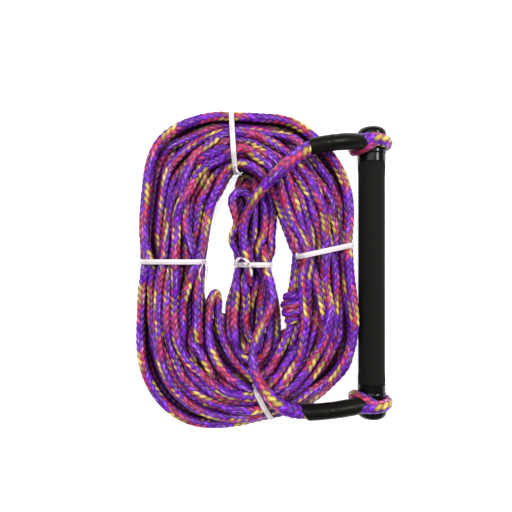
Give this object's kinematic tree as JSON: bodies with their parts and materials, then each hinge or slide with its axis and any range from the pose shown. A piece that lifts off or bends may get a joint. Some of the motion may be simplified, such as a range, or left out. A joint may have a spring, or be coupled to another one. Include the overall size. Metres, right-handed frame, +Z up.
{
  "type": "tow rope handle",
  "caption": "Foam-gripped tow handle whose bar turns in two rope eyes, on a braided tow rope wound in a tied oval coil.",
  "frame": {"origin": "on the ground under the middle of the handle with its eyes and sleeves, as it lies", "axes": "+Y along the handle bar, +X from the coil of rope towards the bar, +Z up"},
  "size_m": [0.2667, 0.3289, 0.061],
  "materials": {
    "braided_rope": "satin",
    "grip_foam": "matte",
    "end_plastic": "gloss",
    "sleeve_vinyl": "satin",
    "tie_plastic": "satin",
    "tube_alloy": "satin",
    "pin_steel": "satin"
  },
  "bodies": {
    "rope": {"main_coil": "braided_rope", "bridle_hank": "braided_rope", "yoke_eye": "braided_rope", "tow_loop": "braided_rope", "loop_knot": "braided_rope", "upper_eye": "braided_rope", "upper_splice": "braided_rope", "upper_leg": "braided_rope", "upper_sleeve": "sleeve_vinyl", "lower_eye": "braided_rope", "lower_splice": "braided_rope", "lower_leg": "braided_rope", "lower_sleeve": "sleeve_vinyl", "tie_top": "tie_plastic", "tie_left": "tie_plastic", "tie_right": "tie_plastic", "tie_bottom": "tie_plastic", "tie_middle": "tie_plastic"},
    "handle": {"core_tube": "tube_alloy", "foam_grip": "grip_foam", "upper_collar": "end_plastic", "upper_cap": "end_plastic", "upper_pin": "pin_steel", "lower_collar": "end_plastic", "lower_cap": "end_plastic", "lower_pin": "pin_steel"}
  },
  "joints": [
    {"name": "handle_roll", "type": "hinge", "parent": "rope", "child": "handle", "pos_m": [0.026, 0, 0.0215], "axis": [0, 1, 0], "continuous": true}
  ]
}
